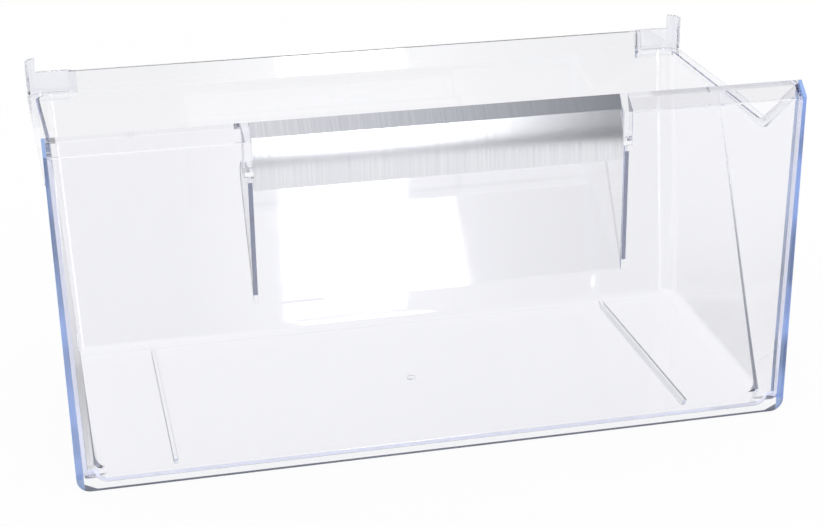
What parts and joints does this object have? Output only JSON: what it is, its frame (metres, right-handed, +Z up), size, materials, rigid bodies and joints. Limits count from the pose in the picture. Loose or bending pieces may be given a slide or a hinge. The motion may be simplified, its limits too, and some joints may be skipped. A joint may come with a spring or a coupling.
{
  "type": "freezer drawer",
  "caption": "Clear pull-out freezer drawer: creased tub with a V-notched rim, front panel with a wedge finger pocket, and a grip bar with an aluminium trim.",
  "frame": {"origin": "middle of the drawer's bounding box on the surface that it stands on", "axes": "+Z up, +X to the right along the front panel, -Y out of the front panel towards the person pulling"},
  "size_m": [0.445, 0.228, 0.2084],
  "materials": {
    "clear_tub": "gloss",
    "clear_panel": "gloss",
    "clear_grip": "gloss",
    "brushed_trim": "brushed"
  },
  "bodies": {
    "root": {"drawer_tub": "clear_tub", "front_panel": "clear_panel", "grip_bar": "clear_grip", "grip_trim": "brushed_trim"}
  },
  "joints": []
}
